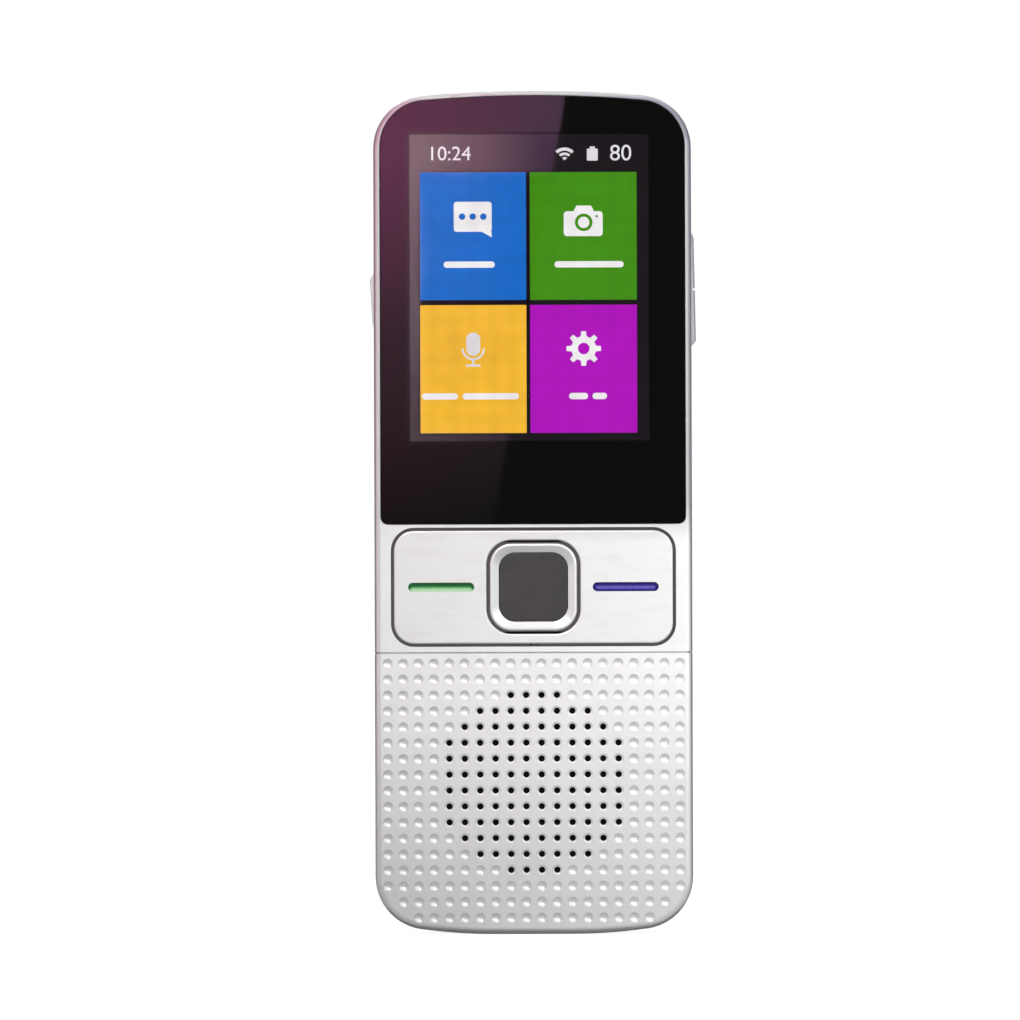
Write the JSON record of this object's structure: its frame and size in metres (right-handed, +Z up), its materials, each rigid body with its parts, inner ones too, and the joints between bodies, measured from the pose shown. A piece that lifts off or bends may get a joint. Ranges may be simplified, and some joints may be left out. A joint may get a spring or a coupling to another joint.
{
  "type": "handheld translator",
  "caption": "Upright handheld voice translator: colour touch display, language rocker around a square centre key, side keys, and a dimpled loudspeaker grille.",
  "frame": {"origin": "under the middle of the bottom end, on the surface that the device stands on", "axes": "+Z up along the device, display facing -Y, +X to the right as the display is read"},
  "size_m": [0.0517, 0.0139, 0.1335],
  "materials": {
    "silver_housing": "moulded plastic with satin silver paint",
    "silver_keys": "moulded plastic with smooth silver paint",
    "dark_key": "dark grey plastic, semi-gloss",
    "screen_glass": "flat cover glass, polished",
    "black_ink": "black ink printed behind the glass",
    "black_adhesive": "double-sided black tape",
    "sensor_film": "clear touch sensor",
    "display_cell": "colour liquid crystal cell with its polariser, lit from behind",
    "white_plastic": "white light guide frame",
    "stamped_steel": "stamped and plated steel sheet",
    "black_foam": "soft closed-cell foam",
    "flex_film": "amber polyimide film with copper tracks",
    "connector_plastic": "cream heat-proof plastic",
    "green_light": "green translucent light bar",
    "blue_light": "blue-violet translucent light bar",
    "black_plastic": "black moulded plastic",
    "board_laminate": "green solder mask on glass-fibre laminate",
    "chip_epoxy": "moulded black epoxy",
    "tin_plate": "tin-plated steel shield",
    "clear_resin": "clear lamp resin",
    "battery_foil": "dull laminated aluminium foil pouch",
    "white_tape": "white double-sided tape",
    "lead_sleeve": "soft coloured lead insulation",
    "speaker_paper": "pressed dark diaphragm film",
    "speaker_steel": "zinc-plated steel",
    "grille_mesh": "fine black acoustic cloth",
    "soft_rubber": "soft black sealing rubber",
    "socket_steel": "drawn stainless steel",
    "microphone_metal": "drawn aluminium can",
    "trim_metal": "turned ring, bright",
    "lens_glass": "coated lens glass",
    "window_glass": "smoked cover window",
    "diffuser": "milky light guide",
    "antenna_copper": "copper pattern on film",
    "screw_steel": "nickel-plated steel"
  },
  "bodies": {
    "housing": {"front_housing": "silver_housing", "rear_housing": "silver_housing", "speaker_grille": "silver_housing", "screen_glass": "screen_glass", "screen_mask": "black_ink", "glass_adhesive": "black_adhesive", "grille_adhesive": "black_adhesive", "touch_sensor": "sensor_film", "lcd_panel": "display_cell", "lcd_backlight": "white_plastic", "lcd_bracket": "stamped_steel", "foam_pad": "black_foam", "lcd_flex": "flex_film", "board_ribbon": "flex_film", "lcd_connector": "connector_plastic", "battery_connector": "connector_plastic", "keypad_liner": "black_plastic", "front_switches": "black_plastic", "side_switches": "black_plastic", "usb_tongue": "black_plastic", "camera_module": "black_plastic", "main_board": "board_laminate", "bottom_board": "board_laminate", "battery_circuit": "board_laminate", "processor_chip": "chip_epoxy", "memory_chips": "chip_epoxy", "shield_can": "tin_plate", "indicator_leds": "clear_resin", "flash_led": "clear_resin", "battery_pack": "battery_foil", "battery_tape": "white_tape", "battery_leads": "lead_sleeve", "speaker_leads": "lead_sleeve", "speaker_cone": "speaker_paper", "speaker_frame": "speaker_steel", "speaker_magnet": "speaker_steel", "speaker_mesh": "grille_mesh", "speaker_gasket": "soft_rubber", "microphone_boots": "soft_rubber", "usb_shell": "socket_steel", "microphones": "microphone_metal", "camera_trim": "trim_metal", "camera_lens": "lens_glass", "camera_window": "window_glass", "flash_guide": "diffuser", "antenna_film": "antenna_copper", "housing_screws": "screw_steel"},
    "language_keys": {"language_rocker": "silver_keys", "green_light_bar": "green_light", "blue_light_bar": "blue_light"},
    "centre_key": {"centre_key_ring": "silver_keys", "centre_key_cap": "dark_key"},
    "volume_key": {"volume_rocker": "silver_keys"},
    "side_power_key": {"power_key": "silver_keys"},
    "left_plunger": {"left_stem": "black_plastic"},
    "centre_plunger": {"centre_stem": "black_plastic"},
    "right_plunger": {"right_stem": "black_plastic"},
    "louder_plunger": {"volume_up_stem": "black_plastic"},
    "quieter_plunger": {"volume_down_stem": "black_plastic"},
    "power_plunger": {"power_stem": "black_plastic"}
  },
  "joints": [
    {"name": "language_tilt", "type": "hinge", "parent": "housing", "child": "language_keys", "pos_m": [0, -0.0045, 0.05497], "axis": [0, 0, 1], "range_deg": [-1, 1], "stiffness_Nm_per_rad": 0.05},
    {"name": "left_plunger_slide", "type": "slide", "parent": "housing", "child": "left_plunger", "axis": [0, 1, 0], "range_m": [-0.00032, 0.00032]},
    {"name": "right_plunger_slide", "type": "slide", "parent": "housing", "child": "right_plunger", "axis": [0, 1, 0], "range_m": [-0.00032, 0.00032]},
    {"name": "centre_key_press", "type": "slide", "parent": "housing", "child": "centre_key", "axis": [0, 1, 0], "range_m": [0, 0.0003], "stiffness_N_per_m": 200, "springref_m": -0.001},
    {"name": "centre_plunger_slide", "type": "slide", "parent": "housing", "child": "centre_plunger", "axis": [0, 1, 0], "range_m": [0, 0.0003]},
    {"name": "volume_tilt", "type": "hinge", "parent": "housing", "child": "volume_key", "pos_m": [0.02295, -0.0004, 0.1021], "axis": [0, 1, 0], "range_deg": [-2, 2], "stiffness_Nm_per_rad": 0.01},
    {"name": "louder_plunger_slide", "type": "slide", "parent": "housing", "child": "louder_plunger", "axis": [-1, 0, 0], "range_m": [-0.00018, 0.00018]},
    {"name": "quieter_plunger_slide", "type": "slide", "parent": "housing", "child": "quieter_plunger", "axis": [-1, 0, 0], "range_m": [-0.00018, 0.00018]},
    {"name": "power_press", "type": "slide", "parent": "housing", "child": "side_power_key", "axis": [1, 0, 0], "range_m": [0, 0.00025], "stiffness_N_per_m": 200, "springref_m": -0.001},
    {"name": "power_plunger_slide", "type": "slide", "parent": "housing", "child": "power_plunger", "axis": [1, 0, 0], "range_m": [0, 0.00025]}
  ],
  "couplings": [
    {"joint": "right_plunger_slide", "follows": "language_tilt", "m_per_rad": 0.018},
    {"joint": "left_plunger_slide", "follows": "language_tilt", "m_per_rad": -0.018},
    {"joint": "centre_plunger_slide", "follows": "centre_key_press", "ratio": 1},
    {"joint": "louder_plunger_slide", "follows": "volume_tilt", "m_per_rad": -0.005},
    {"joint": "quieter_plunger_slide", "follows": "volume_tilt", "m_per_rad": 0.005},
    {"joint": "power_plunger_slide", "follows": "power_press", "ratio": 1}
  ]
}
